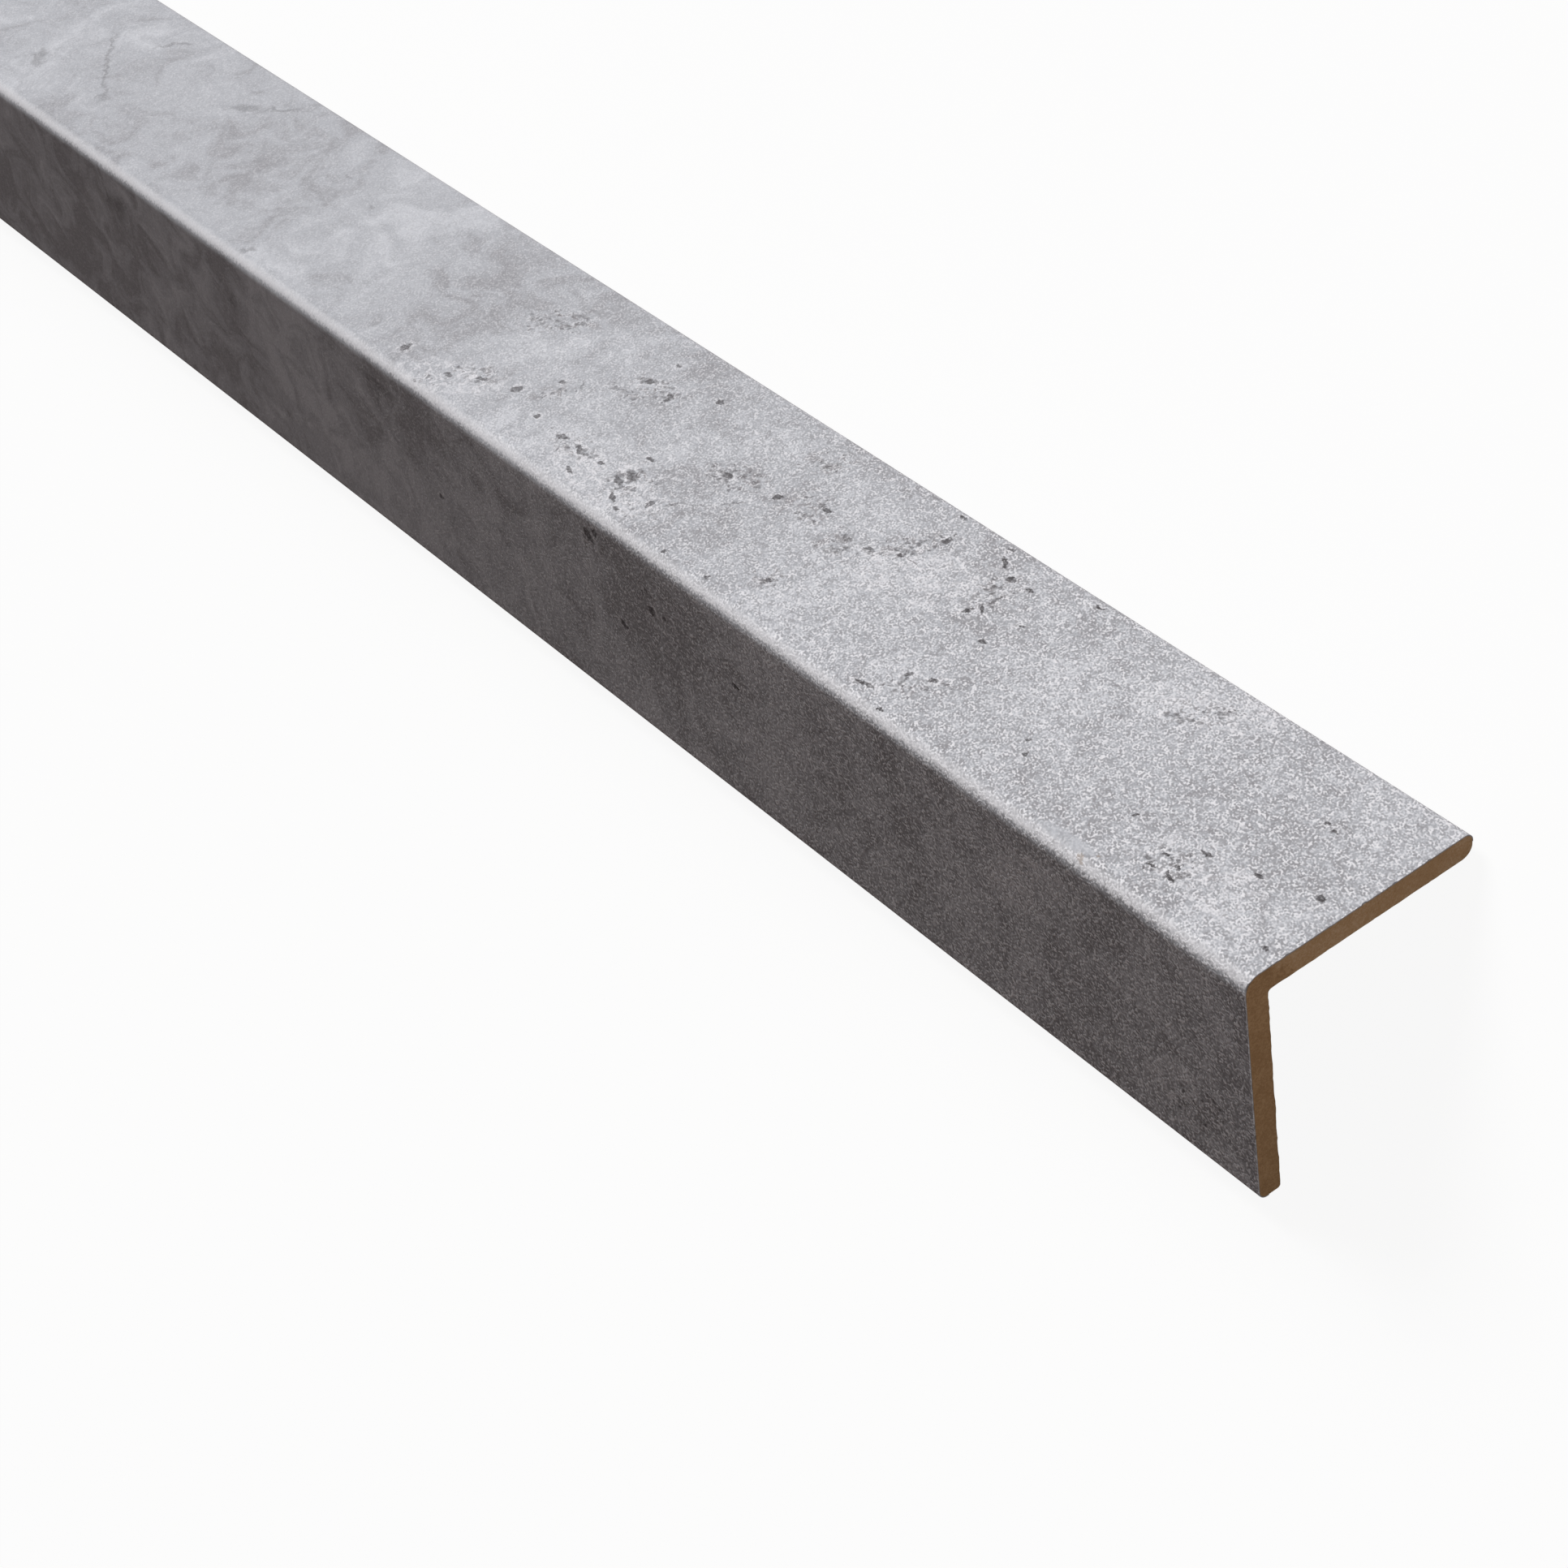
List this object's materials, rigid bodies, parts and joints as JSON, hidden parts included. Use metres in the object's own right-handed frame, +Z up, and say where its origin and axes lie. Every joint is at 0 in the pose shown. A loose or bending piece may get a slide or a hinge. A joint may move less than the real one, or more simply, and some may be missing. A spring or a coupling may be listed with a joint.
{
  "type": "decor-wrapped fibreboard angle section",
  "caption": "Straight length of equal-leg angle trim: a brown wood-fibre core with a concrete-look decor sheet wrapped over both outer faces and the free edges.",
  "frame": {"origin": "middle of the footprint, on the floor that the two free edges stand on", "axes": "+X along the length, +Y across the section, +Z up from the floor to the outer corner"},
  "size_m": [1, 0.0442, 0.0236],
  "materials": {
    "fibreboard": "sawn brown wood fibreboard, matt",
    "decor": "concrete-look decor sheet, fine pearl emboss, satin"
  },
  "bodies": {
    "root": {"fibreboard_core": "fibreboard", "decor_sheet": "decor"}
  },
  "joints": []
}
